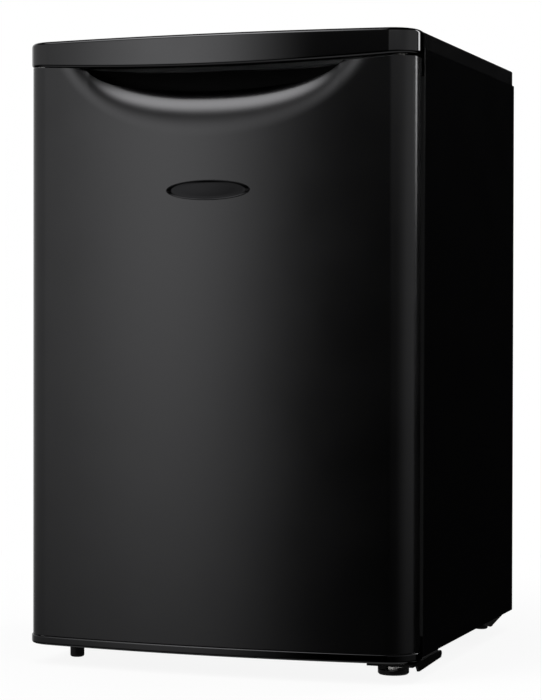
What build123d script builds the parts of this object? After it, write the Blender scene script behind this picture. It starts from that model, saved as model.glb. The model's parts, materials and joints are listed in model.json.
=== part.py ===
"""Compact larder refrigerator: foamed cabinet, bowed door with a scoop handle, and the parts inside.

X runs across the front (hinges on +X), +Y towards the back, +Z up. The origin is the centre of the
footprint on the floor. All sizes are in millimetres.
"""

import math
import os

from build123d import *

os.makedirs("parts", exist_ok=True)

# ---------------------------------------------------------------- driving dimensions
overall_depth = 475.0
cabinet_width = 446.0
cabinet_depth = 408.5
floor_gap = 24.0
cabinet_top = 673.0
worktop_top = 690.4
nose_top = 690.8
trim_width = 450.0
door_width = 445.0
door_rear_gap = 13.0
bow_radius = 1480.0
door_corner_radius = 28.0
trim_corner_radius = 33.0
nose_edge_middle = 656.3
nose_edge_end = 664.7
door_top_gap = 2.8
cap_bottom = 22.4
cap_top = 31.8
wall = 34.0
sheet = 0.8
liner_skin = 1.5
hinge_axis_x = 204.0
hinge_axis_depth = 24.0
hinge_pin_radius = 4.0
bay_depth = 150.0
bay_top = 204.0
flange_depth = 20.0
rail_top = 48.0
rail_depth = 8.0
lip_crest = 630.0
lip_height = 40.0
lip_radius = 44.0
pocket_floor = 606.0
badge_height = 523.0
knob_x, knob_z = -36.0, 616.0

# ---------------------------------------------------------------- places worked out from them
nose_front = -overall_depth / 2
door_front = nose_front + 1.5
rear = overall_depth / 2
front = rear - cabinet_depth
door_rear = front - door_rear_gap
bow_centre = door_front + bow_radius
half_cabinet = cabinet_width / 2
half_trim = trim_width / 2
half_door = door_width / 2
hinge_y = front - hinge_axis_depth
inner_half = half_cabinet - wall - liner_skin - 0.5
inner_floor = 62.0
inner_ceiling = 636.0
inner_back = rear - 52.0
bay_front = rear - bay_depth
step_front = bay_front - 28.0
step_top = bay_top + 31.0
drain_y = bay_front + 18.0
door_top_middle = nose_edge_middle - door_top_gap
door_top_end = nose_edge_end - door_top_gap
lip_start = lip_crest - lip_height
pocket_back = door_rear - 7
bush_seat = 659.8
left_foot_x, left_foot_y = -190.5, front + 18.5
right_foot_x, right_foot_y = 182.5, front + 25.0
foot_places = ((left_foot_x, left_foot_y), (right_foot_x, right_foot_y))


# ---------------------------------------------------------------- shared shapes
def write(piece, name):
    """Label a finished piece and write it as its own STEP file."""
    piece.part.label = name
    export_step(piece.part, f"parts/{name}.step")


def block(x0, x1, y0, y1, z0, z1, mode=Mode.ADD):
    """A box between two corners, added to or cut from the current part."""
    with Locations(((x0 + x1) / 2, (y0 + y1) / 2, (z0 + z1) / 2)):
        Box(x1 - x0, y1 - y0, z1 - z0, mode=mode)


def rod(x, y, z0, z1, radius, mode=Mode.ADD):
    """An upright cylinder between two heights."""
    with Locations((x, y, (z0 + z1) / 2)):
        Cylinder(radius, z1 - z0, mode=mode)


def bowed_plan(height, half, front_middle, back, radius):
    """Plan of a bowed, round-cornered front piece, drawn at one height."""
    bow = bow_centre - front_middle
    side_front = bow_centre - math.sqrt(bow**2 - half**2)
    with BuildSketch(Plane.XY.offset(height)) as plan:
        with BuildLine():
            Polyline((-half, side_front), (-half, back), (half, back), (half, side_front))
            ThreePointArc((half, side_front), (0, front_middle), (-half, side_front))
        make_face()
        fillet(plan.vertices().group_by(Axis.Y)[0], radius)
    return plan.sketch


def above_smile(middle, end, half, top):
    """Face in the XZ plane above a curve that sags in the middle, up to a level top."""
    with BuildSketch(Plane.XZ) as face:
        with BuildLine():
            ThreePointArc((-half, end), (0, middle), (half, end))
            Polyline((half, end), (half, top), (-half, top), (-half, end))
        make_face()
    return face.sketch


def scoop_face(grow=0.0):
    """Face in the XZ plane of the finger scoop: a shallow bowl with steeper ends."""
    flat_half, flat_rise = 110.0, 9.0 + 0.2 * grow
    low = lip_crest - grow
    end = 150 + grow / 2
    with BuildSketch(Plane.XZ) as face:
        with BuildLine():
            bowl = ThreePointArc((-flat_half, low + flat_rise), (0, low), (flat_half, low + flat_rise))
            Line(bowl @ 1, (end, 660))
            Line(bowl @ 0, (-end, 660))
            Polyline((end, 660), (end, 700), (-end, 700), (-end, 660))
        make_face()
    return face.sketch


def tube(points, radii, radius):
    """A round pipe along straight runs joined by arcs."""
    with BuildLine() as route:
        FilletPolyline(*points, radius=radii)
    with BuildSketch(Plane(origin=route.line @ 0, z_dir=route.line % 0)) as section:
        Circle(radius)
    sweep(section.sketch, path=route.line)


# ---------------------------------------------------------------- cabinet casing
def side_panel(side, name):
    """Painted steel side with a front flange and a rear return."""
    outer = half_cabinet
    with BuildPart() as panel:
        block(outer - sheet, outer, front, rear, floor_gap, cabinet_top)
        block(outer - flange_depth, outer, front, front + sheet, floor_gap, cabinet_top)
        block(outer - 12, outer, rear - 2.8, rear - 2.0, floor_gap, cabinet_top)
        corner = panel.edges().filter_by(Axis.Z).sort_by(lambda e: e.center().Y - e.center().X)[0]
        fillet(corner, 0.75)
        if side < 0:
            mirror(about=Plane.YZ, mode=Mode.REPLACE)
    write(panel, name)


side_panel(-1, "side_panel_left")
side_panel(1, "side_panel_right")

with BuildPart() as top_panel:
    flange_half = half_cabinet - flange_depth - 0.2
    block(-half_cabinet + 0.9, half_cabinet - 0.9, front + 0.9, rear - 4, cabinet_top - sheet, cabinet_top)
    block(-flange_half, flange_half, front, front + sheet, cabinet_top - flange_depth, cabinet_top)
    block(-flange_half, flange_half, front, front + 2, cabinet_top - sheet, cabinet_top)
write(top_panel, "top_panel")

with BuildPart() as front_rail:
    block(-flange_half, flange_half, front, front + sheet, floor_gap, rail_top)
    block(-flange_half, flange_half, front, front + rail_depth, floor_gap, floor_gap + sheet)
write(front_rail, "front_rail")

with BuildPart() as base_pan:
    pan_front = front + rail_depth + 0.3
    with BuildSketch(Plane.YZ) as profile:
        with BuildLine():
            Polyline(
                (pan_front, floor_gap), (bay_front, floor_gap), (bay_front, bay_top), (rear - 4, bay_top),
                (rear - 4, bay_top + sheet), (bay_front - sheet, bay_top + sheet),
                (bay_front - sheet, floor_gap + sheet), (pan_front, floor_gap + sheet), close=True)
        make_face()
    extrude(amount=half_cabinet - 0.9, both=True)
    for x, y in foot_places:
        rod(x, y, floor_gap - 5, floor_gap + 5, 9.3, mode=Mode.SUBTRACT)
    rod(0, drain_y, bay_top - 1, bay_top + 2, 5.2, mode=Mode.SUBTRACT)
write(base_pan, "base_pan")

with BuildPart() as back_panel:
    block(-half_cabinet + 1, half_cabinet - 1, rear - 3.7, rear - 2.9, bay_top + 1, cabinet_top - 1)
    for height in range(270, 640, 85):
        with BuildSketch(Plane.XZ.offset(-(rear - 3.3))):
            with Locations((0, height)):
                SlotOverall(330, 16)
        extrude(amount=-1.6)
write(back_panel, "back_panel")

with BuildPart() as cabinet_insulation:
    foam_half = half_cabinet - 0.9
    shell_out = inner_half + liner_skin + 0.1
    block(-foam_half, foam_half, front + 1.6, rear - 3.8, floor_gap + 0.9, cabinet_top - 0.9)
    block(-shell_out, shell_out, front - 1, inner_back + liner_skin + 0.1, inner_floor - liner_skin - 0.1,
          inner_ceiling + liner_skin + 0.1, mode=Mode.SUBTRACT)
    block(-foam_half, foam_half, bay_front - 0.9, rear, floor_gap, bay_top + 0.9, mode=Mode.SUBTRACT)
    step_z = step_top - liner_skin - 0.1
    step_y = step_front + liner_skin + 0.1
    block(-shell_out, shell_out, step_y, bay_front - 0.9, 60.4, step_z)
    block(-shell_out, shell_out, step_y, inner_back + liner_skin + 0.1, bay_top + 0.9, step_z)
    block(-foam_half, foam_half, front, pan_front, floor_gap, floor_gap + 1.4, mode=Mode.SUBTRACT)
    for x, y in foot_places:
        rod(x, y, floor_gap - 1, floor_gap + 20, 9.3, mode=Mode.SUBTRACT)
    rod(0, drain_y, bay_top, step_top, 5.2, mode=Mode.SUBTRACT)
write(cabinet_insulation, "cabinet_insulation")

with BuildPart() as cavity:
    block(-inner_half, inner_half, front - 1, inner_back, inner_floor, inner_ceiling)
    block(-inner_half, inner_half, step_front, rear, 50, step_top, mode=Mode.SUBTRACT)
    fillet(cavity.edges().filter_by(Axis.Y), 6)

with BuildPart() as cabinet_liner:
    out = inner_half + liner_skin
    block(-flange_half + 0.2, flange_half - 0.2, front, front + liner_skin, rail_top + 0.3,
          cabinet_top - flange_depth - 0.3)
    block(-out, out, front, inner_back + liner_skin, inner_floor - liner_skin, inner_ceiling + liner_skin)
    block(-out, out, step_front + liner_skin, rear, 50, step_top - liner_skin, mode=Mode.SUBTRACT)
    add(cavity.part, mode=Mode.SUBTRACT)
    for height in (334, 474):
        for side in (-1, 1):
            with Locations((side * (inner_half - 3), front + 210, height)):
                Box(6, 270, 8)
    for side in (-1, 1):
        with Locations((side * (inner_half - 5), (front + 80 + step_front) / 2, step_top - 4)):
            Box(10, step_front - front - 80, 8)
write(cabinet_liner, "cabinet_liner")

with BuildPart() as worktop:
    lid_front = door_rear
    lid_rear = rear - 4
    block(-half_cabinet, half_cabinet, lid_front, lid_rear, cabinet_top + 0.1, worktop_top)
    fillet(worktop.edges().filter_by(Axis.Z).group_by(Axis.Y)[-1], 6)
    fillet(worktop.faces().sort_by(Axis.Z)[-1].edges().group_by(Axis.Y)[1:], 2.0)
    block(-half_cabinet + 3, half_cabinet - 3, lid_front - 1, lid_rear - 3, cabinet_top, worktop_top - 4,
          mode=Mode.SUBTRACT)
write(worktop, "worktop")

nose_back = door_rear - 0.1
low = nose_edge_middle - 10
with BuildPart() as nose_hollow:
    extrude(bowed_plan(low, half_trim - 3, nose_front + 3, nose_back + 1, trim_corner_radius - 3),
            amount=nose_top - 3 - low)
    extrude(above_smile(nose_edge_middle + 2.5, nose_edge_end + 2.5, half_trim + 1, 720), amount=300,
            both=True, mode=Mode.INTERSECT)

with BuildPart() as worktop_nose:
    extrude(bowed_plan(low, half_trim, nose_front, nose_back, trim_corner_radius), amount=nose_top - low)
    top_edges = worktop_nose.faces().sort_by(Axis.Z)[-1].edges().group_by(Axis.Y)[:-1]
    fillet(top_edges, 2.5)
    extrude(above_smile(nose_edge_middle, nose_edge_end, half_trim + 1, 720), amount=300, both=True,
            mode=Mode.INTERSECT)
    add(nose_hollow.part, mode=Mode.SUBTRACT)
    rod(hinge_axis_x, hinge_y, low, nose_top - 3, 7, mode=Mode.SUBTRACT)
write(worktop_nose, "worktop_nose")

# ---------------------------------------------------------------- door
with BuildPart() as door_skin:
    skin = 1.0
    tall = door_top_end + 1 - cap_top
    extrude(bowed_plan(cap_top + 0.6, half_door, door_front, door_rear, door_corner_radius), amount=tall)
    extrude(bowed_plan(cap_top, half_door - skin, door_front + skin, door_rear + 1, door_corner_radius - 1),
            amount=tall + 5, mode=Mode.SUBTRACT)
    extrude(above_smile(door_top_middle, door_top_end, half_door + 1, 0), amount=300, both=True,
            mode=Mode.INTERSECT)
    extrude(scoop_face(lip_height), amount=-door_front, mode=Mode.SUBTRACT)
write(door_skin, "door_skin")

with BuildPart() as lip_roll:
    lip_angle = math.asin(lip_height / lip_radius)
    lip_reach = math.degrees(math.asin(190 / bow_radius))
    spoke = Vector(-math.sin(math.radians(lip_reach)), -math.cos(math.radians(lip_reach)), 0)
    with BuildSketch(Plane(origin=(0, bow_centre, 0), x_dir=spoke, z_dir=spoke.cross(Vector(0, 0, 1)))):
        with BuildLine():
            bend = [(bow_radius - lip_radius * (1 - math.cos(lip_angle * part)),
                     lip_start + lip_radius * math.sin(lip_angle * part)) for part in (0, 0.5, 1)]
            ThreePointArc(*bend)
            Polyline(bend[2], (bend[2][0], 700), (bow_radius + 8, 700), (bow_radius + 8, lip_start), bend[0])
        make_face()
    revolve(axis=Axis((0, bow_centre, 0), (0, 0, 1)), revolution_arc=2 * lip_reach)
    extrude(scoop_face(lip_height), amount=300, mode=Mode.INTERSECT)

with BuildPart() as lip_band:
    extrude(scoop_face(lip_height - 0.2), amount=300)
    extrude(bowed_plan(lip_start, half_door, door_front, door_rear - 3, door_corner_radius), amount=80,
            mode=Mode.INTERSECT)

with BuildPart() as mouth:
    extrude(scoop_face(), amount=300)
    block(-200, 200, pocket_back, 10, 500, 720, mode=Mode.SUBTRACT)

with BuildPart() as door_top_cap:
    inset = 1.1
    cap_radius = door_corner_radius - 1
    cap_plan = bowed_plan(lip_start, half_door - inset, door_front + inset, door_rear - 3, cap_radius)
    extrude(cap_plan, amount=80)
    add(lip_band.part)
    extrude(above_smile(door_top_middle, door_top_end, half_door + 1, 0), amount=300, both=True,
            mode=Mode.INTERSECT)
    add(lip_roll.part, mode=Mode.SUBTRACT)
    # finger space behind the lip, open to the front above it
    block(-146, 146, door_front + 31, pocket_back, pocket_floor, 700, mode=Mode.SUBTRACT)
    add(mouth.part, mode=Mode.SUBTRACT)
    # hollow ends
    for side in (-1, 1):
        block(min(side * 172, side * 214), max(side * 172, side * 214), door_front + 36, door_rear - 6,
              lip_start - 1, 640, mode=Mode.SUBTRACT)
    rod(hinge_axis_x, hinge_y, 600, 700, 6.1, mode=Mode.SUBTRACT)
    rod(hinge_axis_x, hinge_y, bush_seat, 700, 9.3, mode=Mode.SUBTRACT)
write(door_top_cap, "door_top_cap")

with BuildPart() as door_bottom_cap:
    rim_top = 44.0
    extrude(bowed_plan(cap_bottom, half_trim, nose_front, door_rear, trim_corner_radius),
            amount=cap_top - cap_bottom)
    fillet(door_bottom_cap.faces().sort_by(Axis.Z)[0].edges().group_by(Axis.Y)[:-1], 1.5)
    extrude(bowed_plan(cap_top, half_door - 1.1, door_front + 1.1, door_rear - 2, door_corner_radius - 1),
            amount=rim_top - cap_top)
    extrude(bowed_plan(28, half_door - 5, door_front + 5, door_rear - 5, door_corner_radius - 5), amount=30,
            mode=Mode.SUBTRACT)
    rod(hinge_axis_x, hinge_y, cap_bottom, rim_top, 9)
    rod(hinge_axis_x, hinge_y, cap_bottom - 1, rim_top + 1, 6.1, mode=Mode.SUBTRACT)
write(door_bottom_cap, "door_bottom_cap")

# the inner door: a flange plate with a raised hollow frame that holds the racks
dike_back = front + 26.0
dike_half, dike_width = 170.0, 20.0
dike_low, dike_high = 78.0, 622.0
liner_plane = door_rear - liner_skin

dike_skin = 2.0
with BuildPart() as dike_core:
    block(-dike_half + dike_skin, dike_half - dike_skin, liner_plane - 1, dike_back - dike_skin,
          dike_low + dike_skin, dike_high - dike_skin)
    block(-dike_half + dike_width - dike_skin, dike_half - dike_width + dike_skin, liner_plane - 2,
          dike_back, dike_low + 18 - dike_skin, dike_high - 18 + dike_skin, mode=Mode.SUBTRACT)
    fillet(dike_core.edges().filter_by(Axis.Y), 4)

with BuildPart() as door_liner:
    block(-half_door + 1.2, half_door - 1.2, liner_plane, door_rear, 44.2, 645)
    block(-dike_half, dike_half, liner_plane, dike_back, dike_low, dike_high)
    block(-dike_half + dike_width, dike_half - dike_width, door_rear, dike_back + 1, dike_low + 18,
          dike_high - 18, mode=Mode.SUBTRACT)
    fillet(door_liner.edges().filter_by(Axis.Y).filter_by(lambda e: e.length > 20), 5)
    add(dike_core.part, mode=Mode.SUBTRACT)
write(door_liner, "door_liner")

with BuildPart() as door_insulation:
    foam_low = rim_top + 0.2
    foam_radius = door_corner_radius - 1
    foam_plan = bowed_plan(foam_low, half_door - 1.2, door_front + 1.2, liner_plane - 0.1, foam_radius)
    extrude(foam_plan, amount=lip_start - 0.2 - foam_low)
    add(dike_core.part.moved(Location((0, -0.1, 0))))
write(door_insulation, "door_insulation")

with BuildPart() as door_gasket:
    seal_half, seal_low, seal_high = 203.0, 47.0, 654.0
    for y0, y1, depth in ((door_rear + 0.1, door_rear + 3, 12), (door_rear + 3, door_rear + 7, 8),
                          (door_rear + 7, front - 0.5, 13)):
        with BuildSketch(Plane.XZ.offset(-y0)) as ring:
            with Locations((0, (seal_low + seal_high) / 2)):
                RectangleRounded(2 * seal_half, seal_high - seal_low, 8)
                RectangleRounded(2 * (seal_half - depth), seal_high - seal_low - 2 * depth, 4,
                                 mode=Mode.SUBTRACT)
        extrude(amount=-(y1 - y0))
write(door_gasket, "door_gasket")

with BuildPart() as door_badge:
    with BuildSketch(Plane.XZ.offset(200)):
        with Locations((0, badge_height)):
            Ellipse(48, 11)
    extrude(amount=50)
    extrude(bowed_plan(badge_height - 30, half_door, door_front - 1.2, door_rear, 10), amount=60,
            mode=Mode.INTERSECT)
    extrude(bowed_plan(badge_height - 40, half_door, door_front - 0.05, door_rear + 10, 10), amount=80,
            mode=Mode.SUBTRACT)
write(door_badge, "door_badge")


def door_bin(name, low, high, lip_high, depth):
    """An open tray that hooks between the sides of the inner door, with a lower front wall."""
    half, thick = dike_half - dike_width - 1.0, 2.4
    near, far = door_rear + 0.6, door_rear + 0.6 + depth
    with BuildPart() as tray:
        block(-half, half, near, far, low, high)
        fillet(tray.edges().filter_by(Axis.Z).group_by(Axis.Y)[-1], 14)
        block(-half + thick, half - thick, near + thick, far - thick, low + thick, high + 1,
              mode=Mode.SUBTRACT)
        block(-half - 1, half + 1, near + 16, far + 1, lip_high, high + 1, mode=Mode.SUBTRACT)
        block(-half - 1, half + 1, far - 8, far - 4, lip_high - 9, lip_high - 6, mode=Mode.SUBTRACT)
    write(tray, name)


door_bin("door_bin_lower", 100, 196, 176, 66)
door_bin("door_bin_middle", 300, 372, 352, 66)
door_bin("door_bin_upper", 474, 534, 516, 66)

# ---------------------------------------------------------------- hinges
def pin_bush(name, flange_low, flange_high, sleeve_low, sleeve_high):
    """Plastic bush pressed into a door cap, with a thrust flange."""
    with BuildPart() as bush:
        rod(hinge_axis_x, hinge_y, sleeve_low, sleeve_high, 6.0)
        rod(hinge_axis_x, hinge_y, flange_low, flange_high, 8.5)
        rod(hinge_axis_x, hinge_y, sleeve_low - 5, sleeve_high + 5, hinge_pin_radius + 0.3,
            mode=Mode.SUBTRACT)
    write(bush, name)


upper_plate_low = cabinet_top + 0.1
lower_plate_high = 20.9
plate_thickness = 3.0

pin_bush("upper_hinge_bush", bush_seat + 0.1, bush_seat + 1.7, 646, bush_seat + 1)
pin_bush("lower_hinge_bush", lower_plate_high + 0.35, cap_bottom - 0.05, cap_bottom - 0.5, 43)

bolt_places = ((186, front + 8), (212, front + 10), (200, front + 62))
with BuildPart() as upper_hinge_plate:
    block(176, 216, hinge_y - 12, front + 74, upper_plate_low, upper_plate_low + plate_thickness)
    fillet(upper_hinge_plate.edges().filter_by(Axis.Z), 6)
    rod(hinge_axis_x, hinge_y, 640, 700, hinge_pin_radius + 0.05, mode=Mode.SUBTRACT)
    for x, y in bolt_places:
        rod(x, y, 640, 700, 3.2, mode=Mode.SUBTRACT)
write(upper_hinge_plate, "upper_hinge_plate")

with BuildPart() as upper_hinge_pin:
    rod(hinge_axis_x, hinge_y, 648, upper_plate_low + plate_thickness, hinge_pin_radius)
    rod(hinge_axis_x, hinge_y, upper_plate_low + plate_thickness + 0.05,
        upper_plate_low + plate_thickness + 2, 6)
    rod(hinge_axis_x, hinge_y, 660, upper_plate_low + plate_thickness + 1, hinge_pin_radius)
    chamfer(upper_hinge_pin.edges().sort_by(Axis.Z)[0], 1)
write(upper_hinge_pin, "upper_hinge_pin")

skirt_low_front, skirt_low_back = 10.5, 13.2
with BuildPart() as lower_hinge_plate:
    plate_low = lower_plate_high - plate_thickness
    block(172, half_cabinet, hinge_y - 16, front + 72, plate_low, lower_plate_high)
    with BuildSketch(Plane.YZ.offset(half_cabinet - 2.5)):
        with BuildLine():
            Polyline((front - 26, lower_plate_high), (front - 16, skirt_low_front),
                     (front - 10, skirt_low_front), (front + 73, skirt_low_back),
                     (front + 76, skirt_low_back + 3),
                     (front + 76, lower_plate_high - 2), (front + 73, lower_plate_high), close=True)
        make_face()
    extrude(amount=2.5)
    rod(hinge_axis_x, hinge_y, 0, 60, hinge_pin_radius + 0.05, mode=Mode.SUBTRACT)
    rod(right_foot_x, right_foot_y, 0, 60, 4.6, mode=Mode.SUBTRACT)
    for x, y in bolt_places:
        rod(x, y, 0, 60, 3.2, mode=Mode.SUBTRACT)
write(lower_hinge_plate, "lower_hinge_plate")

with BuildPart() as lower_hinge_spacer:
    block(174, half_cabinet - 3, front + 1, front + 71, lower_plate_high, floor_gap)
    rod(right_foot_x, right_foot_y, 0, 60, 4.8, mode=Mode.SUBTRACT)
    for x, y in bolt_places:
        rod(x, y, 0, 60, 3.2, mode=Mode.SUBTRACT)
write(lower_hinge_spacer, "lower_hinge_spacer")

with BuildPart() as lower_hinge_pin:
    rod(hinge_axis_x, hinge_y, plate_low - 0.05 - 2, plate_low - 0.05, 6)
    rod(hinge_axis_x, hinge_y, plate_low - 1, 41, hinge_pin_radius)
    chamfer(lower_hinge_pin.edges().sort_by(Axis.Z)[-1], 1)
write(lower_hinge_pin, "lower_hinge_pin")

with BuildPart() as hinge_bolts:
    head = 4.0
    for x, y in bolt_places:
        rod(x, y, upper_plate_low, upper_plate_low + plate_thickness + 0.5, 3)
        with BuildSketch(Plane.XY.offset(upper_plate_low + plate_thickness)):
            with Locations((x, y)):
                RegularPolygon(5, 6)
        extrude(amount=head)
        rod(x, y, plate_low - 0.5, floor_gap - 0.1, 3)
        with BuildSketch(Plane.XY.offset(plate_low - head)):
            with Locations((x, y)):
                RegularPolygon(5, 6)
        extrude(amount=head)
write(hinge_bolts, "hinge_bolts")

# ---------------------------------------------------------------- feet
with BuildPart() as foot_sockets:
    for x, y in foot_places:
        rod(x, y, floor_gap, 42, 9.0)
        rod(x, y, floor_gap - 1, 60, 4.6, mode=Mode.SUBTRACT)
write(foot_sockets, "foot_sockets")

with BuildPart() as front_left_foot:
    rod(left_foot_x, left_foot_y, 0, floor_gap - 0.6, 8)
    fillet(front_left_foot.edges().sort_by(Axis.Z)[0], 2.5)
    rod(left_foot_x, left_foot_y, floor_gap - 2, 40, 4.2)
write(front_left_foot, "front_left_foot")

pad_radius, pad_height, pad_sill = 17.0, 11.4, 5.2
with BuildPart() as front_right_foot_pad:
    rod(right_foot_x, right_foot_y, 0, pad_height, pad_radius)
    fillet(front_right_foot_pad.edges().group_by(Axis.Z)[-1], 3)
    chamfer(front_right_foot_pad.edges().group_by(Axis.Z)[0], 1.5)
    # open front that shows the stud
    block(right_foot_x - 6.4, right_foot_x + 6.4, right_foot_y - 20, right_foot_y, pad_sill, 20,
          mode=Mode.SUBTRACT)
    block(right_foot_x - 20, right_foot_x + 20, right_foot_y - 20, right_foot_y - 7, pad_sill, 20,
          mode=Mode.SUBTRACT)
    rod(right_foot_x, right_foot_y, pad_sill, 20, 7.2, mode=Mode.SUBTRACT)
write(front_right_foot_pad, "front_right_foot_pad")

with BuildPart() as front_right_foot_stud:
    hex_low, hex_radius, facing = pad_sill + 0.1, 6.2, -74.0
    with BuildSketch(Plane.XY.offset(hex_low)):
        with Locations((right_foot_x, right_foot_y)):
            RegularPolygon(hex_radius, 6, rotation=facing)
    extrude(amount=plate_low - 0.5 - hex_low)
    rod(right_foot_x, right_foot_y, 12, 40, 4.2)
write(front_right_foot_stud, "front_right_foot_stud")

with BuildPart() as rear_feet:
    for side in (-1, 1):
        rod(side * 186, rear - 11, 0, floor_gap + 0.9, 8.5)
    fillet(rear_feet.edges().group_by(Axis.Z)[0], 2.5)
write(rear_feet, "rear_feet")

# ---------------------------------------------------------------- compressor bay
tray_low, tray_thick = 25.0, 1.5
skirt_low = 16.4
tray_top = tray_low + tray_thick
compressor_x, compressor_y = 40.0, rear - 76

with BuildPart() as compressor_tray:
    half = half_cabinet - 1
    block(-half, half, bay_front + 1, rear - 4, tray_low, tray_top)
    block(-half, half, bay_front + 1, bay_front + 2.5, tray_low, tray_low + 14)
    block(-half, half, rear - 5.5, rear - 4, tray_low, tray_low + 14)
    for side in (-1, 1):
        with BuildSketch(Plane.YZ.offset(side * (half - 1.5))):
            Polygon((bay_front + 2, tray_low + 0.1), (rear - 106, skirt_low), (rear - 98, skirt_low),
                    (rear - 93, skirt_low + 1.2), (rear - 34, tray_low + 0.1), align=None)
        extrude(amount=side * 1.5)
write(compressor_tray, "compressor_tray")

mount_places = [(compressor_x + sx * 84, compressor_y + sy * 34) for sx in (-1, 1) for sy in (-1, 1)]
with BuildPart() as compressor_grommets:
    for x, y in mount_places:
        rod(x, y, tray_top, tray_top + 12, 9)
    fillet(compressor_grommets.edges().group_by(Axis.Z)[-1], 2)
write(compressor_grommets, "compressor_grommets")

plate_z = tray_top + 12.1
with BuildPart() as compressor:
    with BuildSketch(Plane.XY.offset(plate_z)):
        with Locations((compressor_x, compressor_y)):
            RectangleRounded(192, 92, 12)
    extrude(amount=3)
    with BuildSketch(Plane.XY.offset(plate_z + 2)):
        with Locations((compressor_x, compressor_y)):
            Ellipse(72, 56)
    extrude(amount=104)
    fillet(compressor.faces().sort_by(Axis.Z)[-1].edges(), 30)
    with BuildSketch(Plane.XY.offset(plate_z + 50)):
        with Locations((compressor_x, compressor_y)):
            Ellipse(76, 60)
    extrude(amount=7)
write(compressor, "compressor")

with BuildPart() as start_relay:
    block(compressor_x - 118, compressor_x - 77, compressor_y - 24, compressor_y + 24, 62, 116)
    fillet(start_relay.edges(), 4)
write(start_relay, "start_relay")

with BuildPart() as drip_tray:
    block(-110, 110, bay_front + 8, rear - 16, 160, 184)
    fillet(drip_tray.edges().filter_by(Axis.Z), 14)
    block(-107.5, 107.5, bay_front + 10.5, rear - 18.5, 162.5, 190, mode=Mode.SUBTRACT)
write(drip_tray, "drip_tray")

with BuildPart() as drain_tube:
    rod(0, drain_y, bay_top - 12, step_top - liner_skin - 0.2, 5)
    rod(0, drain_y, bay_top - 20, step_top + 5, 3.4, mode=Mode.SUBTRACT)
write(drain_tube, "drain_tube")

with BuildPart() as filter_drier:
    with Locations(Location((172, bay_front + 36, 100), (0, 0, 0))):
        Cylinder(9, 90)
    fillet(filter_drier.edges(), 6)
write(filter_drier, "filter_drier")

with BuildPart() as discharge_pipe:
    tube([(compressor_x + 80, compressor_y + 20, 96), (compressor_x + 110, compressor_y + 20, 96),
          (compressor_x + 110, compressor_y + 50, 140), (185, compressor_y + 50, 140), (185, rear - 60, 140),
          (185, rear - 60, 30)], 10, 3)
write(discharge_pipe, "discharge_pipe")

with BuildPart() as suction_pipe:
    tube([(compressor_x - 30, compressor_y + 62, 100), (compressor_x - 30, rear - 6, 100),
          (-150, rear - 6, 100), (-150, rear - 6, bay_top - 1)], 7, 3.5)
write(suction_pipe, "suction_pipe")

with BuildPart() as cord_gland:
    with Locations(Location((-190, rear - 8.2, 60), (90, 0, 0))):
        Cylinder(11, 5)
    with Locations(Location((-190, rear - 3.5, 60), (90, 0, 0))):
        Cylinder(7, 5)
    block(-212, -168, rear - 14, rear - 11, tray_low + 14.5, 82)
write(cord_gland, "cord_gland")

with BuildPart() as back_panel_screws:
    for height in (240, 440, 640):
        for side in (-1, 1):
            with Locations(Location((side * 216, rear - 1.1, height), (90, 0, 0))):
                Cylinder(3.8, 1.7)
write(back_panel_screws, "back_panel_screws")

# ---------------------------------------------------------------- inside the cabinet
shelf_half = inner_half - 3.0
shelf_front = front + 84.0
shelf_rear = inner_back - 26.0


def glass_shelf(name, trim_name, height):
    """Tempered glass on the side ribs, with a moulded front trim."""
    with BuildPart() as glass:
        block(-shelf_half, shelf_half, shelf_front + 8.2, shelf_rear, height, height + 4)
    write(glass, name)
    with BuildPart() as trim:
        block(-shelf_half, shelf_half, shelf_front, shelf_front + 22, height - 3.4, height + 8)
        fillet(trim.edges().filter_by(Axis.X), 2)
        block(-shelf_half - 1, shelf_half + 1, shelf_front + 8, shelf_front + 30, height - 0.1, height + 4.1,
              mode=Mode.SUBTRACT)
        block(-shelf_half - 1, -inner_half + 8, shelf_front - 1, shelf_front + 30, height - 6, height,
              mode=Mode.SUBTRACT)
        block(inner_half - 8, shelf_half + 1, shelf_front - 1, shelf_front + 30, height - 6, height,
              mode=Mode.SUBTRACT)
    write(trim, trim_name)


glass_shelf("upper_shelf_glass", "upper_shelf_trim", 478.1)
glass_shelf("lower_shelf_glass", "lower_shelf_trim", 338.1)

with BuildPart() as crisper_cover:
    cover_half = inner_half - 7.5
    block(-cover_half, cover_half, shelf_front + 2, inner_back - 8, step_top + 0.1, step_top + 4.1)
write(crisper_cover, "crisper_cover")

crisper_front, crisper_rear = front + 92.0, step_front - 4.0
with BuildPart() as crisper_drawer:
    half = inner_half - 13
    block(-half, half, crisper_front, crisper_rear, inner_floor + 1, step_top - 8)
    fillet(crisper_drawer.edges().filter_by(Axis.Z), 12)
    block(-half + 2.5, half - 2.5, crisper_front + 2.5, crisper_rear - 2.5, inner_floor + 3.5, step_top,
          mode=Mode.SUBTRACT)
    block(-60, 60, crisper_front - 1, crisper_front + 5, step_top - 20, step_top, mode=Mode.SUBTRACT)
write(crisper_drawer, "crisper_drawer")

with BuildPart() as evaporator_plate:
    block(-150, 150, inner_back - 9, inner_back - 6, 300, 600)
    for side in (-1, 1):
        for height in (330, 570):
            block(side * 120 - 8, side * 120 + 8, inner_back - 7, inner_back, height - 8, height + 8)
write(evaporator_plate, "evaporator_plate")

with BuildPart() as drain_gutter:
    block(-140, 140, inner_back - 24, inner_back, 262, 276)
    block(-137, 137, inner_back - 21.5, inner_back - 2.5, 265, 280, mode=Mode.SUBTRACT)
write(drain_gutter, "drain_gutter")

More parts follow.
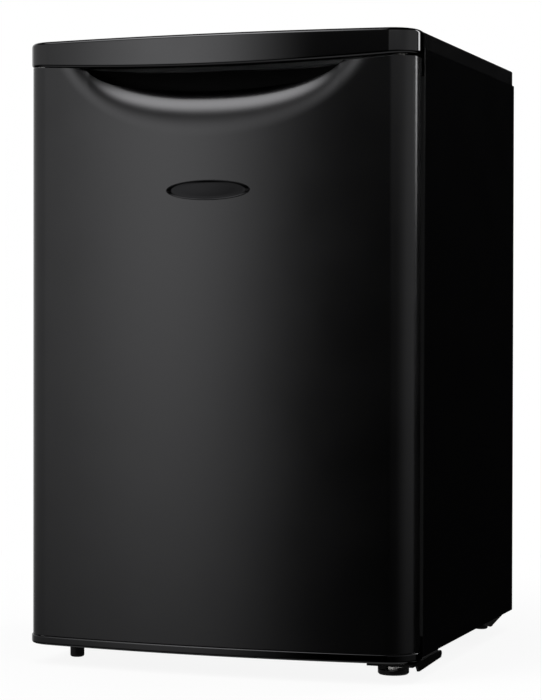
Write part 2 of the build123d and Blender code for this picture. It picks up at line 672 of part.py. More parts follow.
housing_front, housing_rear = front + 150.0, front + 250.0
with BuildPart() as thermostat_housing:
    block(-75, 75, housing_front, housing_rear, 596, inner_ceiling)
    fillet(thermostat_housing.edges().filter_by(Axis.Z).group_by(Axis.Y)[0], 8)
    block(8, 62, housing_front - 1, housing_front + 60, 602, 628, mode=Mode.SUBTRACT)
    with Locations(Location((knob_x, housing_front, knob_z), (90, 0, 0))):
        Cylinder(3.5, 40, mode=Mode.SUBTRACT)
write(thermostat_housing, "thermostat_housing")

with BuildPart() as thermostat_knob:
    with Locations(Location((knob_x, housing_front - 8, knob_z), (90, 0, 0))):
        Cylinder(15, 15)
    fillet(thermostat_knob.edges().group_by(Axis.Y)[0], 2)
    block(knob_x - 2, knob_x + 2, housing_front - 17, housing_front - 4, knob_z - 13, knob_z + 13)
    with Locations(Location((knob_x, housing_front + 4, knob_z), (90, 0, 0))):
        Cylinder(3.1, 14)
write(thermostat_knob, "thermostat_knob")

with BuildPart() as lamp_bulb:
    with Locations(Location((35, housing_front + 32, 615), (90, 0, 0))):
        Cylinder(8, 40)
    fillet(lamp_bulb.edges().group_by(Axis.Y)[0], 7)
write(lamp_bulb, "lamp_bulb")

with BuildPart() as lamp_lens:
    block(8.2, 61.8, housing_front - 2, housing_front + 2, 602.2, 627.8)
    fillet(lamp_lens.edges().filter_by(Axis.Y), 2)
write(lamp_lens, "lamp_lens")
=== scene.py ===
"""Looks of the compact fridge: detailed shells, procedural materials, studio light and camera."""

import json
import math

import bmesh
import bpy
from mathutils import Matrix, Vector


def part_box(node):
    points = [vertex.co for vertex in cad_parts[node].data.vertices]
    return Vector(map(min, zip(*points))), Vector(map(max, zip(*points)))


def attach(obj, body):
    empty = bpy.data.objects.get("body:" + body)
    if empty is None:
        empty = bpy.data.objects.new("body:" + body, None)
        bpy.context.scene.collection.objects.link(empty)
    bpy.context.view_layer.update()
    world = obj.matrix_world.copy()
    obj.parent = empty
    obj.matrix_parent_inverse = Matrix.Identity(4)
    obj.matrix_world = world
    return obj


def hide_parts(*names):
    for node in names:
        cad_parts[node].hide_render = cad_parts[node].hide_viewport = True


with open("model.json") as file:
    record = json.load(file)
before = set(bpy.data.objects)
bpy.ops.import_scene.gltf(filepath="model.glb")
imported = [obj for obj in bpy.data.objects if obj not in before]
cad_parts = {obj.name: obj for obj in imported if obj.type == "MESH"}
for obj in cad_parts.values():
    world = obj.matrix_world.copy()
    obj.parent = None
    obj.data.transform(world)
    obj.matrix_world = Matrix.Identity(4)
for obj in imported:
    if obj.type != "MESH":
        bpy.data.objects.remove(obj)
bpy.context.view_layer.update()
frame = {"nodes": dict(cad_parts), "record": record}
nodes = frame["nodes"]
MM = 0.001


def box_mm(node):
    """Lowest and highest corner of a CAD node, in millimetres."""
    low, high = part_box(node)
    return [v / MM for v in low], [v / MM for v in high]


# ---------------------------------------------------------------- sizes read from the frame (mm)
skin_low, skin_high = box_mm("door_skin")
nose_low, nose_high = box_mm("worktop_nose")
DOOR_HALF = skin_high[0]
DOOR_FRONT = skin_low[1]
DOOR_REAR = skin_high[1]
DOOR_BOTTOM = skin_low[2]
NOSE_HALF = nose_high[0]
NOSE_FRONT = nose_low[1]
NOSE_REAR = nose_high[1]
NOSE_TOP = nose_high[2]
NOSE_EDGE_MIDDLE = nose_low[2]
CAP_LOW = box_mm("door_bottom_cap")[0][2]

# ---------------------------------------------------------------- sizes of the detailed pieces (mm)
BOW_RADIUS = 1480.0
BOW_CENTRE = DOOR_FRONT + BOW_RADIUS
BOW_STEPS = 72
FINE_BOW_STEPS = 260
CORNER_STEPS = 14
DOOR_CORNER = 28.0
TRIM_CORNER = 33.0
SMILE_RISE = 8.4
POCKET_FLOOR = 606.0
POCKET_DEPTH = 45.0
LIP_DEPTH = 26.0
LIP_ROLL = 3.0
FOOT_MIDDLE = 581.0
CREST_MIDDLE = 631.5
TOP_GAP = 0.8
HINGE_TOP_GAP = 2.0
POCKET_SOFT = 6.0
WALL_STEPS = 6
FLAT_ROWS = 24
LIP_ROWS = 26
SHEET = 1.0
CRISP_DEGREES = 50
CAP_TALL = 9.4
BADGE_STEPS = 96
BADGE_FACE = 0.88


# ---------------------------------------------------------------- mesh helpers
def mesh_object(name, verts, faces):
    """A smooth mesh object from millimetre vertices, with its normals pointing outwards."""
    mesh = bpy.data.meshes.new(name)
    mesh.from_pydata([tuple(c * MM for c in v) for v in verts], [], faces)
    mesh.validate()
    work = bmesh.new()
    work.from_mesh(mesh)
    bmesh.ops.remove_doubles(work, verts=work.verts, dist=0.00002)
    bmesh.ops.dissolve_degenerate(work, edges=work.edges, dist=0.00001)
    bmesh.ops.recalc_face_normals(work, faces=work.faces)
    work.to_mesh(mesh)
    work.free()
    obj = bpy.data.objects.new(name, mesh)
    bpy.context.scene.collection.objects.link(obj)
    mesh.polygons.foreach_set("use_smooth", [True] * len(mesh.polygons))
    return obj


def smile(x, middle, half):
    """Height at x of an edge that sags in the middle and rises to its ends."""
    return middle + SMILE_RISE * (x / half) ** 2


def outline(half, front, rear, radius, bow_steps=BOW_STEPS):
    """Points and outward normals of a bowed front with rounded corners, from rear left to rear right."""
    bow = BOW_CENTRE - front
    side = half - radius
    reach = bow - radius
    turn = math.asin(side / reach)
    centre_y = BOW_CENTRE - reach * math.cos(turn)
    found = [((-half, rear), (-1.0, 0.0))]
    for i in range(CORNER_STEPS + 1):
        a = math.pi / 2 - (math.pi / 2 - turn) * i / CORNER_STEPS
        n = (-math.sin(a), -math.cos(a))
        found.append(((-side + radius * n[0], centre_y + radius * n[1]), n))
    for i in range(1, bow_steps):
        a = turn * (1 - 2 * i / bow_steps)
        n = (-math.sin(a), -math.cos(a))
        found.append(((bow * n[0], BOW_CENTRE + bow * n[1]), n))
    for i in range(CORNER_STEPS + 1):
        a = turn + (math.pi / 2 - turn) * i / CORNER_STEPS
        n = (math.sin(a), -math.cos(a))
        found.append(((side + radius * n[0], centre_y + radius * n[1]), n))
    found.append(((half, rear), (1.0, 0.0)))
    return found


def strip_faces(columns, first, rows):
    """Quads between neighbouring columns of equal length, starting at vertex number first."""
    return [(first + c * rows + r, first + (c + 1) * rows + r, first + (c + 1) * rows + r + 1,
             first + c * rows + r + 1) for c in range(columns - 1) for r in range(rows - 1)]


def round_corner(u0, z0, radius, start, end, steps):
    """Points of an arc about (u0, z0): u is the inset from the face, angle 0 points up."""
    found = []
    for i in range(steps + 1):
        a = math.radians(start + (end - start) * i / steps)
        found.append((u0 - radius * math.sin(a), z0 + radius * math.cos(a)))
    return found


def bowed_solid(name, half, front, rear, radius, profile):
    """A closed bowed piece. profile(x) gives (inset, height) points from its underside to its top."""
    path = outline(half, front, rear, radius)
    rows = len(profile(0.0))
    verts = []
    for (x, y), n in path:
        for u, z in profile(x):
            verts.append((x - n[0] * u, y - n[1] * u, z))
    faces = strip_faces(len(path), 0, rows)
    inner = range(1, len(path) - 1)
    for row in (0, rows - 1):
        first = len(verts)
        for c in inner:
            x, y, z = verts[c * rows + row]
            verts.append((x, y, z))
            verts.append((x, rear, z))
        faces += strip_faces(len(inner), first, 2)
    first = len(verts)
    for c in inner:
        verts.append((verts[c * rows][0], rear, verts[c * rows][2]))
        verts.append((verts[c * rows + rows - 1][0], rear, verts[c * rows + rows - 1][2]))
    faces += strip_faces(len(inner), first, 2)
    for c in (0, len(path) - 1):
        faces.append(tuple(range(c * rows, (c + 1) * rows)))
    return mesh_object(name, verts, faces)


# ---------------------------------------------------------------- door shell with its scoop handle
def door_top(x):
    """Height of the door's top edge, close under the worktop trim and lower towards the hinge."""
    gap = TOP_GAP + HINGE_TOP_GAP * min(1.0, max(0.0, x / 150.0))
    return smile(x, NOSE_EDGE_MIDDLE, DOOR_HALF) - gap


def scoop_foot(x):
    """Height where the flat of the door starts to roll into the scoop."""
    return FOOT_MIDDLE + 0.0016 * x * x + 20.0 * (abs(x) / 172.0) ** 5


def scoop_crest(x):
    """Height of the lip's crest."""
    return CREST_MIDDLE + 0.0005 * x * x + 16.0 * (abs(x) / 150.0) ** 8


def meeting(curve):
    """How far out the curve meets the door's top edge, on the side away from the hinge."""
    x = 100.0
    while curve(x) < door_top(-x):
        x += 0.25
    return x


FOOT_HALF = meeting(scoop_foot)
CREST_HALF = meeting(scoop_crest)


def lip_bend(x):
    """How far the lip rolls over: a full quarter turn in the middle, less towards its ends."""
    return math.radians(max(35.0, 90.0 - 50.0 * (abs(x) / 135.0) ** 1.4))


def lip_tall(x):
    """Height of the whole quarter turn that the lip is a part of."""
    return (scoop_crest(x) - scoop_foot(x)) / math.sin(lip_bend(x))


def lip_turn(x):
    """How far round the lip gets before its crest, or before the door's top edge cuts it off."""
    room = (door_top(x) - scoop_foot(x)) / lip_tall(x)
    return min(lip_bend(x), math.asin(min(1.0, max(0.0, room))))


def lip_inset(x):
    """Inset of the lip's top from the door's face."""
    return LIP_DEPTH * (1 - math.cos(lip_turn(x)))


def pocket_back(x):
    """Inset of the pocket's back wall, which closes towards the scoop's ends."""
    near = lip_inset(x) + LIP_ROLL
    return near + (POCKET_DEPTH - near) * math.sqrt(max(0.0, 1 - (abs(x) / CREST_HALF) ** 6))


def door_path():
    """Points and outward normals along the door's outer face."""
    return outline(DOOR_HALF, DOOR_FRONT, DOOR_REAR, DOOR_CORNER, bow_steps=FINE_BOW_STEPS)


def door_shell():
    """Skin of the door in one surface: hem, front, corners, rolled lip and top."""
    path = door_path()
    verts = []
    for (x, y), n in path:
        inside = abs(x) < FOOT_HALF
        foot = min(scoop_foot(x), door_top(x)) if inside else door_top(x)
        turn, tall = (lip_turn(x), lip_tall(x)) if inside else (0.0, 0.0)
        hem = [(1.5, DOOR_BOTTOM - 0.55), (1.4, DOOR_BOTTOM), (0.35, DOOR_BOTTOM), (0.1, DOOR_BOTTOM + 0.1),
               (0.0, DOOR_BOTTOM + 0.35), (0.0, DOOR_BOTTOM + 0.6)]
        verts.extend((x - n[0] * u, y - n[1] * u, z) for u, z in hem)
        low = DOOR_BOTTOM + 1.2
        for r in range(FLAT_ROWS):
            verts.append((x, y, low + (foot - 0.5 - low) * r / (FLAT_ROWS - 1)))
        for r in range(LIP_ROWS + 1):
            a = turn * r / LIP_ROWS
            u = LIP_DEPTH * (1 - math.cos(a))
            verts.append((x - n[0] * u, y - n[1] * u, foot + tall * math.sin(a)))
    rows = len(hem) + FLAT_ROWS + LIP_ROWS + 1
    faces = strip_faces(len(path), 0, rows)

    first = len(verts)
    edge = range(1, len(path) - 1)
    for c in edge:
        (x, y), n = path[c]
        u = lip_inset(x) if abs(x) < FOOT_HALF else 0.0
        u = pocket_back(x) if abs(x) < CREST_HALF else u
        verts.append((x - n[0] * u, y - n[1] * u, door_top(x)))
        verts.append((x, DOOR_REAR - 1.0, door_top(x)))
    faces += strip_faces(len(edge), first, 2)
    return thin_sheet(mesh_object("door_shell", verts, faces))


def thin_sheet(piece):
    """Gives a surface thickness inwards and crisp edges."""
    thick = piece.modifiers.new("sheet", "SOLIDIFY")
    thick.thickness = SHEET * MM
    thick.offset = -1
    split = piece.modifiers.new("edges", "EDGE_SPLIT")
    split.split_angle = math.radians(CRISP_DEGREES)
    return piece


def scoop_pocket():
    """Moulded pocket behind the lip: the rolled crest, front wall, floor and back wall."""
    path = [place for place in door_path() if abs(place[0][0]) < CREST_HALF]
    verts = []
    for (x, y), n in path:
        share = math.sqrt(max(0.0, 1 - (abs(x) / CREST_HALF) ** 8))
        crest, near, back, top = scoop_crest(x), lip_inset(x) + LIP_ROLL, pocket_back(x), door_top(x)
        line = []
        for i in range(WALL_STEPS + 1):
            a = math.pi / 2 * i / WALL_STEPS
            line.append((lip_inset(x) + LIP_ROLL * math.sin(a), crest - LIP_ROLL * (1 - math.cos(a))))
        wall_top = crest - LIP_ROLL
        floor = wall_top - (wall_top - POCKET_FLOOR) * share
        soft = min(POCKET_SOFT * share, (back - near) / 2.01)
        for i in range(1, WALL_STEPS):
            line.append((near, wall_top + (floor + soft - wall_top) * i / WALL_STEPS))
        for i in range(WALL_STEPS + 1):
            a = math.pi / 2 * i / WALL_STEPS
            line.append((near + soft * (1 - math.cos(a)), floor + soft * (1 - math.sin(a))))
        for i in range(WALL_STEPS + 1):
            a = math.pi / 2 * i / WALL_STEPS
            line.append((back - soft * (1 - math.sin(a)), floor + soft * (1 - math.cos(a))))
        for i in range(1, WALL_STEPS + 1):
            line.append((back, floor + soft + (top - floor - soft) * i / WALL_STEPS))
        verts.extend((x - n[0] * u, y - n[1] * u, z) for u, z in line)
    return thin_sheet(mesh_object("scoop_pocket", verts, strip_faces(len(path), 0, len(line))))


shell = door_shell()
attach(shell, "door")
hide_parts("door_skin")

pocket = scoop_pocket()
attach(pocket, "door")
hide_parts("door_top_cap")


# ---------------------------------------------------------------- worktop trim and door foot trim
def nose_profile(x):
    """Underside, rounded lower edge, front face and rounded top edge of the worktop trim."""
    low = smile(x, NOSE_EDGE_MIDDLE, NOSE_HALF)
    line = [(14.0, low), (8.0, low)]
    line += round_corner(3.0, low + 3.0, 3.0, 180, 90, 7) + [(0.0, low + 3.6)]
    line += [(0.0, NOSE_TOP - 4.8)] + round_corner(4.2, NOSE_TOP - 4.2, 4.2, 90, 0, 10)
    line += [(4.8, NOSE_TOP), (9.0, NOSE_TOP)]
    return line


nose = bowed_solid("worktop_trim", NOSE_HALF, NOSE_FRONT, NOSE_REAR, TRIM_CORNER, nose_profile)
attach(nose, "cabinet")
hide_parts("worktop_nose")


def cap_profile(x):
    """Rounded bottom edge, front face and a narrow raised bead along the top."""
    low, high = CAP_LOW, CAP_LOW + CAP_TALL
    line = [(20.0, low), (8.0, low)]
    line += round_corner(2.4, low + 2.4, 2.4, 180, 90, 6) + [(0.0, low + 2.9)]
    line += [(0.0, high - 1.2)] + round_corner(0.8, high - 0.8, 0.8, 90, 0, 5)
    line += [(1.3, high), (4.0, high)]
    return line


cap = bowed_solid("door_foot_trim", NOSE_HALF, NOSE_FRONT, DOOR_REAR, TRIM_CORNER, cap_profile)
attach(cap, "door")
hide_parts("door_bottom_cap")


# ---------------------------------------------------------------- plain oval badge
def oval_badge(centre_z, half_wide, half_tall):
    """A bowed oval plate with a rounded rim and a slightly sunken face."""
    section = [(1.0, 0.0), (0.99, 0.75), (0.97, 1.15), (0.94, 1.3), (0.91, 1.2), (0.885, 0.85), (0.86, 0.7),
               (0.6, 0.85), (0.3, 0.95), (0.06, 1.0)]
    verts, faces = [], []
    for k in range(BADGE_STEPS):
        a = 2 * math.pi * k / BADGE_STEPS
        for r, rise in section:
            if r < BADGE_FACE:
                wide, tall = half_wide * r, half_tall * r
            else:
                inward = (1 - r) * half_tall
                wide, tall = half_wide - inward, half_tall - inward
            x, z = wide * math.cos(a), centre_z + tall * math.sin(a)
            bow = BOW_CENTRE - math.sqrt((BOW_CENTRE - DOOR_FRONT) ** 2 - x * x)
            verts.append((x, bow - rise, z))
    rows = len(section)
    for k in range(BADGE_STEPS):
        nxt = (k + 1) % BADGE_STEPS
        for r in range(rows - 1):
            faces.append((k * rows + r, nxt * rows + r, nxt * rows + r + 1, k * rows + r + 1))
    faces.append(tuple(k * rows + rows - 1 for k in range(BADGE_STEPS)))
    return mesh_object("oval_badge", verts, faces)


badge_low, badge_high = box_mm("door_badge")
badge = oval_badge((badge_low[2] + badge_high[2]) / 2, badge_high[0], (badge_high[2] - badge_low[2]) / 2)
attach(badge, "door")
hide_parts("door_badge")


# ---------------------------------------------------------------- materials
def new_material(name, colour, roughness, metallic=0.0, **sockets):
    """A Principled material with its even values set on the shader's own sockets."""
    material = bpy.data.materials.new(name)
    material.use_nodes = True
    shader = material.node_tree.nodes["Principled BSDF"]
    shader.inputs["Base Color"].default_value = (*colour, 1.0)
    shader.inputs["Roughness"].default_value = roughness
    shader.inputs["Metallic"].default_value = metallic
    for socket, value in sockets.items():
        shader.inputs[socket.replace("_", " ")].default_value = value
    return material


GRAIN_RELIEF = 0.0002


def add_grain(material, scale, bump, rough_low, rough_high, colour_spread=0.0):
    """Fine noise in bump and roughness, and a slow drift in colour."""
    tree = material.node_tree
    shader = tree.nodes["Principled BSDF"]
    place = tree.nodes.new("ShaderNodeTexCoord")
    fine = tree.nodes.new("ShaderNodeTexNoise")
    fine.inputs["Scale"].default_value = scale
    fine.inputs["Detail"].default_value = 3.0
    tree.links.new(place.outputs["Object"], fine.inputs["Vector"])
    relief = tree.nodes.new("ShaderNodeBump")
    relief.inputs["Strength"].default_value = bump
    relief.inputs["Distance"].default_value = GRAIN_RELIEF
    tree.links.new(fine.outputs["Fac"], relief.inputs["Height"])
    tree.links.new(relief.outputs["Normal"], shader.inputs["Normal"])
    slow = tree.nodes.new("ShaderNodeTexNoise")
    slow.inputs["Scale"].default_value = 14.0
    slow.inputs["Detail"].default_value = 4.0
    tree.links.new(place.outputs["Object"], slow.inputs["Vector"])
    span = tree.nodes.new("ShaderNodeMapRange")
    span.inputs["From Min"].default_value = 0.3
    span.inputs["From Max"].default_value = 0.7
    span.inputs["To Min"].default_value = rough_low
    span.inputs["To Max"].default_value = rough_high
    tree.links.new(slow.outputs["Fac"], span.inputs["Value"])
    tree.links.new(span.outputs["Result"], shader.inputs["Roughness"])
    if colour_spread:
        base = tuple(shader.inputs["Base Color"].default_value)
        ramp = tree.nodes.new("ShaderNodeValToRGB")
        ramp.color_ramp.elements[0].position = 0.35
        ramp.color_ramp.elements[1].position = 0.65
        ramp.color_ramp.elements[0].color = (*[c * (1 - colour_spread) for c in base[:3]], 1)
        ramp.color_ramp.elements[1].color = (*[min(1, c * (1 + colour_spread)) for c in base[:3]], 1)
        tree.links.new(slow.outputs["Fac"], ramp.inputs["Fac"])
        tree.links.new(ramp.outputs["Color"], shader.inputs["Base Color"])
    return material


def slot_materials():
    """One finished material for each material slot of the record."""
    made = {}

    def keep(slot, material, **grain):
        made[slot] = add_grain(material, **grain)

    keep("door_finish", new_material("door_satin_charcoal", (0.075, 0.075, 0.077), 0.22, 1.0),
         scale=2600, bump=0.05, rough_low=0.21, rough_high=0.235, colour_spread=0.03)
    keep("trim_plastic", new_material("trim_gloss_charcoal", (0.075, 0.075, 0.077), 0.08, 1.0),
         scale=900, bump=0.01, rough_low=0.07, rough_high=0.09, colour_spread=0.03)
    keep("cabinet_paint", new_material("cabinet_black", (0.0035, 0.0035, 0.0038), 0.13, 0.0,
                                       Specular_IOR_Level=0.3),
         scale=500, bump=0.02, rough_low=0.12, rough_high=0.14, colour_spread=0.05)
    keep("worktop_plastic", new_material("worktop_black", (0.006, 0.006, 0.0064), 0.17, 0.0),
         scale=1100, bump=0.05, rough_low=0.15, rough_high=0.18, colour_spread=0.05)
    keep("back_paint", new_material("back_black", (0.02, 0.02, 0.021), 0.45, 0.2),
         scale=800, bump=0.15, rough_low=0.4, rough_high=0.5, colour_spread=0.1)
    keep("hinge_paint", new_material("hinge_black", (0.003, 0.003, 0.003), 0.28, 0.0,
                                     Specular_IOR_Level=0.15),
         scale=900, bump=0.1, rough_low=0.24, rough_high=0.3, colour_spread=0.1)
    keep("galvanised_steel", new_material("galvanised", (0.5, 0.51, 0.52), 0.38, 1.0),
         scale=260, bump=0.08, rough_low=0.3, rough_high=0.5, colour_spread=0.12)
    keep("insulation_foam", new_material("foam", (0.76, 0.62, 0.34), 0.95),
         scale=900, bump=0.8, rough_low=0.9, rough_high=1.0, colour_spread=0.1)
    keep("liner_plastic", new_material("liner_white", (0.8, 0.81, 0.81), 0.32, 0.0),
         scale=700, bump=0.03, rough_low=0.31, rough_high=0.33, colour_spread=0.01)
    keep("gasket_rubber", new_material("gasket", (0.012, 0.012, 0.012), 0.6),
         scale=1500, bump=0.2, rough_low=0.55, rough_high=0.7, colour_spread=0.1)
    keep("badge_metal", new_material("badge_dark_chrome", (0.02, 0.02, 0.021), 0.18, 1.0),
         scale=1500, bump=0.02, rough_low=0.12, rough_high=0.17, colour_spread=0.03)
    keep("clear_plastic", new_material("clear_plastic", (0.93, 0.96, 0.97), 0.08, 0.0,
                                       Transmission_Weight=0.9, IOR=1.49),
         scale=500, bump=0.02, rough_low=0.06, rough_high=0.12)
    keep("black_plastic", new_material("black_plastic", (0.003, 0.003, 0.003), 0.4, 0.0,
                                       Specular_IOR_Level=0.3),
         scale=1200, bump=0.25, rough_low=0.36, rough_high=0.48, colour_spread=0.1)
    keep("bush_plastic", new_material("bush_plastic", (0.75, 0.75, 0.72), 0.45),
         scale=1200, bump=0.1, rough_low=0.4, rough_high=0.5, colour_spread=0.02)
    keep("bright_steel", new_material("bright_steel", (0.82, 0.81, 0.79), 0.24, 0.45),
         scale=900, bump=0.1, rough_low=0.2, rough_high=0.3, colour_spread=0.05)
    keep("foot_rubber", new_material("foot_rubber", (0.005, 0.005, 0.005), 0.7, 0.0,
                                     Specular_IOR_Level=0.25),
         scale=1400, bump=0.3, rough_low=0.65, rough_high=0.8, colour_spread=0.1)
    keep("compressor_paint", new_material("compressor_black", (0.01, 0.01, 0.011), 0.22, 0.0,
                                          Coat_Weight=0.5, Coat_Roughness=0.1),
         scale=300, bump=0.12, rough_low=0.2, rough_high=0.3, colour_spread=0.1)
    keep("copper", new_material("copper", (0.78, 0.36, 0.2), 0.28, 1.0),
         scale=300, bump=0.08, rough_low=0.22, rough_high=0.4, colour_spread=0.12)
    keep("shelf_glass", new_material("shelf_glass", (0.86, 0.95, 0.92), 0.03, 0.0,
                                     Transmission_Weight=1.0, IOR=1.5),
         scale=60, bump=0.01, rough_low=0.02, rough_high=0.04)
    keep("shelf_trim", new_material("shelf_trim", (0.78, 0.79, 0.79), 0.28),
         scale=800, bump=0.05, rough_low=0.25, rough_high=0.32, colour_spread=0.01)
    keep("evaporator_metal", new_material("evaporator", (0.8, 0.81, 0.82), 0.32, 1.0),
         scale=400, bump=0.1, rough_low=0.28, rough_high=0.4, colour_spread=0.05)
    keep("knob_plastic", new_material("knob_plastic", (0.62, 0.63, 0.64), 0.35),
         scale=900, bump=0.08, rough_low=0.3, rough_high=0.4, colour_spread=0.02)
    keep("lamp_glass", new_material("lamp_glass", (1.0, 0.93, 0.8), 0.1, 0.0, Transmission_Weight=0.6),
         scale=300, bump=0.02, rough_low=0.08, rough_high=0.14)
    return made


finishes = slot_materials()
# Painted shade: the scoop pocket is made near black and rough, much darker than the trim, so that it paints
# the shade deep in the recess under the worktop trim.
pocket_painted_shade = add_grain(new_material("pocket_painted_shade", (0.002, 0.002, 0.002), 0.7, 0.0,
                                      Specular_IOR_Level=0.12),
                         scale=900, bump=0.15, rough_low=0.65, rough_high=0.75, colour_spread=0.1)
slot_of = {entry["node"]: entry["material_slot"] for entry in frame["record"]["subparts"]}
for node_name, node_object in nodes.items():
    node_object.data.materials.clear()
    node_object.data.materials.append(finishes[slot_of[node_name]])
tray_black = add_grain(new_material("tray_black", (0.004, 0.004, 0.004), 0.4, 0.0, Specular_IOR_Level=0.3),
                       scale=500, bump=0.05, rough_low=0.36, rough_high=0.46, colour_spread=0.1)
nodes["compressor_tray"].data.materials[0] = tray_black
for piece, finish in ((shell, finishes["door_finish"]), (pocket, pocket_painted_shade),
                      (nose, finishes["trim_plastic"]), (cap, finishes["trim_plastic"]),
                      (badge, finishes["badge_metal"])):
    piece.data.materials.append(finish)


# ---------------------------------------------------------------- floor, world and light
FLOOR_HALF = 30.0
FLOOR_FADE = (0.35, 1.1)
AIM_HEIGHT = 0.35
WHITE = (1, 1, 1, 1)


def build_floor():
    """A pale floor that fades to the background's white and isn't mirrored in the object."""
    mesh = bpy.data.meshes.new("floor")
    half = FLOOR_HALF
    corners = [(-half, -half, 0), (half, -half, 0), (half, half, 0), (-half, half, 0)]
    mesh.from_pydata(corners, [], [(0, 1, 2, 3)])
    floor = bpy.data.objects.new("floor", mesh)
    bpy.context.scene.collection.objects.link(floor)
    material = bpy.data.materials.new("pale_floor")
    material.use_nodes = True
    tree = material.node_tree
    tree.nodes.clear()
    out = tree.nodes.new("ShaderNodeOutputMaterial")
    blend = tree.nodes.new("ShaderNodeMixShader")
    matt = tree.nodes.new("ShaderNodeBsdfDiffuse")
    matt.inputs["Color"].default_value = (0.86, 0.86, 0.86, 1)
    glow = tree.nodes.new("ShaderNodeEmission")
    place = tree.nodes.new("ShaderNodeTexCoord")
    length = tree.nodes.new("ShaderNodeVectorMath")
    length.operation = "LENGTH"
    fade = tree.nodes.new("ShaderNodeMapRange")
    fade.interpolation_type = "SMOOTHSTEP"
    fade.inputs["From Min"].default_value = FLOOR_FADE[0]
    fade.inputs["From Max"].default_value = FLOOR_FADE[1]
    fade.inputs["To Min"].default_value = 0.9
    fade.inputs["To Max"].default_value = 1.0
    tree.links.new(place.outputs["Object"], length.inputs[0])
    tree.links.new(length.outputs["Value"], fade.inputs["Value"])
    tree.links.new(fade.outputs["Result"], blend.inputs["Fac"])
    tree.links.new(matt.outputs["BSDF"], blend.inputs[1])
    tree.links.new(glow.outputs["Emission"], blend.inputs[2])
    tree.links.new(blend.outputs["Shader"], out.inputs["Surface"])
    mesh.materials.append(material)
    floor.visible_glossy = False
    floor.visible_diffuse = False


class Sky:
    """Soft boxes painted on the surroundings by heading and height, seen by everything but the camera."""

    def __init__(self):
        world = bpy.data.worlds.new("studio")
        bpy.context.scene.world = world
        world.use_nodes = True
        self.tree = world.node_tree
        self.tree.nodes.clear()
        place = self.tree.nodes.new("ShaderNodeTexCoord")
        parts = self.tree.nodes.new("ShaderNodeSeparateXYZ")
        self.tree.links.new(place.outputs["Generated"], parts.inputs["Vector"])
        x, y, z = parts.outputs
        back = self.calc("MULTIPLY", y, -1.0)
        self.heading = self.calc("MULTIPLY", self.calc("ARCTAN2", x, back), 180 / math.pi)
        self.height = self.calc("MULTIPLY", self.calc("ARCSINE", z), 180 / math.pi)
        up = self.calc("MAXIMUM", z, 0.02)
        self.across, self.along = self.calc("DIVIDE", x, up), self.calc("DIVIDE", y, up)
        self.total = None

    def calc(self, operation, first, second=None):
        """Output of one math node; each term is a number or another node's output."""
        node = self.tree.nodes.new("ShaderNodeMath")
        node.operation = operation
        for socket, value in zip(node.inputs, (first, second)):
            if isinstance(value, float):
                socket.default_value = value
            elif value is not None:
                self.tree.links.new(value, socket)
        return node.outputs[0]

    def ramp(self, value, dark, lit):
        """A smooth step from 0 where value is dark to 1 where it is lit."""
        node = self.tree.nodes.new("ShaderNodeMapRange")
        node.interpolation_type = "SMOOTHSTEP"
        low, high = (0.0, 1.0) if dark <= lit else (1.0, 0.0)
        start, end = min(dark, lit), max(dark, lit)
        for name, number in (("From Min", start), ("From Max", end), ("To Min", low), ("To Max", high)):
            node.inputs[name].default_value = number
        self.tree.links.new(value, node.inputs["Value"])
        return node.outputs["Result"]

    def add(self, strength, *edges):
        """One soft box: each edge is (quantity, where it is dark, where it is fully lit)."""
        lobe = None
        for value, dark, lit in edges:
            edge = self.ramp(value, dark, lit)
            lobe = edge if lobe is None else self.calc("MULTIPLY", lobe, edge)
        lobe = self.calc("MULTIPLY", lobe, strength)
        self.total = lobe if self.total is None else self.calc("ADD", self.total, lobe)

    def finish(self):
        """White for the camera, the soft boxes for everything else."""
        nodes, links = self.tree.nodes, self.tree.links
        boxes = nodes.new("ShaderNodeBackground")
        links.new(self.total, boxes.inputs["Strength"])
        plain = nodes.new("ShaderNodeBackground")
        plain.inputs["Color"].default_value = WHITE
        mix, who, out = (nodes.new("ShaderNodeMixShader"), nodes.new("ShaderNodeLightPath"),
                         nodes.new("ShaderNodeOutputWorld"))
        links.new(who.outputs["Is Camera Ray"], mix.inputs["Fac"])
        links.new(boxes.outputs["Background"], mix.inputs[1])
        links.new(plain.outputs["Background"], mix.inputs[2])
        links.new(mix.outputs["Shader"], out.inputs["Surface"])


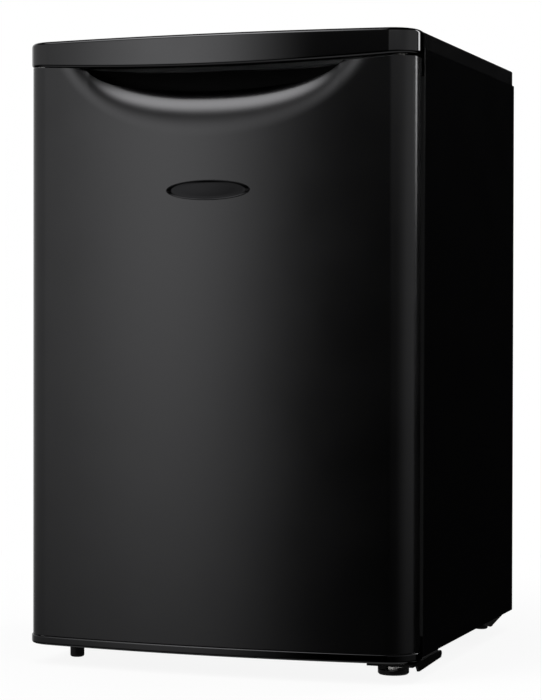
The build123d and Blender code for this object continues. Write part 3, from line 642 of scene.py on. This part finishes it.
def build_sky():
    """The soft boxes, each with its strength and its edges in degrees or in share of the height."""
    sky = Sky()
    phi, up, across, along = sky.heading, sky.height, sky.across, sky.along
    right_start, right_end = (phi, 6.0, 9.0), (phi, 132.0, 125.0)
    foot, head = (up, -15.0, 8.0), (up, 45.0, 30.0)
    # key box, front left
    sky.add(1.4, (phi, -42.0, -25.5), (phi, -9.0, -24.0), (up, -15.0, 5.0), (up, 34.0, 13.0))
    # wide fill, left
    sky.add(0.55, (phi, -140.0, -125.0), (phi, -20.0, -45.0), (up, -18.0, 3.0), (up, 40.0, 20.0))
    # overhead box
    sky.add(4.9, (up, 8.0, 20.0), (along, -1.4, -0.8), (along, 0.1, -0.6), (across, -1.1, -0.45),
            (across, 0.03, -0.42))
    # wide fills, right
    sky.add(0.05, right_start, right_end, foot, head)
    sky.add(0.4, (phi, 26.0, 95.0), right_end, foot, head)
    sky.add(0.35, right_start, (phi, 75.0, 30.0), (up, 5.6, 7.6), head)
    # weak fill, front
    sky.add(0.06, (phi, -30.0, -20.0), (phi, 12.0, 8.0), (up, 5.0, 7.5), head)
    # bright strip, behind right
    sky.add(7.0, (phi, 134.0, 137.0), (phi, 149.0, 144.0), (up, 3.0, 7.5), (up, 40.0, 30.0))
    # from below
    sky.add(0.35, (up, -25.0, -45.0))
    # fill, behind left
    sky.add(0.6, (phi, -176.0, -160.0), (phi, -115.0, -130.0), (up, -20.0, 0.0), (up, 50.0, 35.0))
    sky.finish()


def soft_lamp(name, heading, distance, height, width, power):
    """A wide area light for the matt parts, aimed at the middle of the object and not mirrored in it."""
    data = bpy.data.lights.new(name, "AREA")
    data.shape = "SQUARE"
    data.size = width
    data.energy = power
    lamp = bpy.data.objects.new(name, data)
    turn = math.radians(heading)
    place = Vector((distance * math.sin(turn), -distance * math.cos(turn), height))
    aim = Vector((0.0, 0.0, AIM_HEIGHT)) - place
    lamp.matrix_world = Matrix.Translation(place) @ aim.to_track_quat("-Z", "Y").to_matrix().to_4x4()
    lamp.visible_glossy = False
    bpy.context.scene.collection.objects.link(lamp)


build_floor()
build_sky()
soft_lamp("soft_front_left", -35.0, 2.4, 1.8, 1.6, 26.0)
soft_lamp("soft_overhead", 10.0, 0.3, 2.6, 2.0, 40.0)
soft_lamp("soft_front_low", -6.0, 2.6, 0.12, 0.5, 26.0)
soft_lamp("soft_back_right", 150.0, 2.2, 1.6, 1.4, 22.0)


# ---------------------------------------------------------------- camera at the photograph's angle
LENS = 113.94
CAMERA_PLACE = (0.8610, -2.4523, 0.3871)
CAMERA_TURN, CAMERA_TIP, CAMERA_ROLL = 19.58, -0.858, 0.11


def build_camera():
    """Long lens a little right of the front and near mid height."""
    data = bpy.data.cameras.new("camera")
    data.lens = LENS
    data.sensor_width = 36.0
    data.clip_end = 100.0
    camera = bpy.data.objects.new("camera", data)
    turn, tip, roll = (math.radians(v) for v in (CAMERA_TURN, CAMERA_TIP, CAMERA_ROLL))
    look = Matrix.Rotation(turn, 4, "Z") @ Matrix.Rotation(math.pi / 2 + tip, 4, "X")
    look = look @ Matrix.Rotation(roll, 4, "Z")
    camera.matrix_world = Matrix.Translation(CAMERA_PLACE) @ look
    bpy.context.scene.collection.objects.link(camera)
    bpy.context.scene.camera = camera


build_camera()
bpy.context.scene.view_settings.view_transform = "Standard"
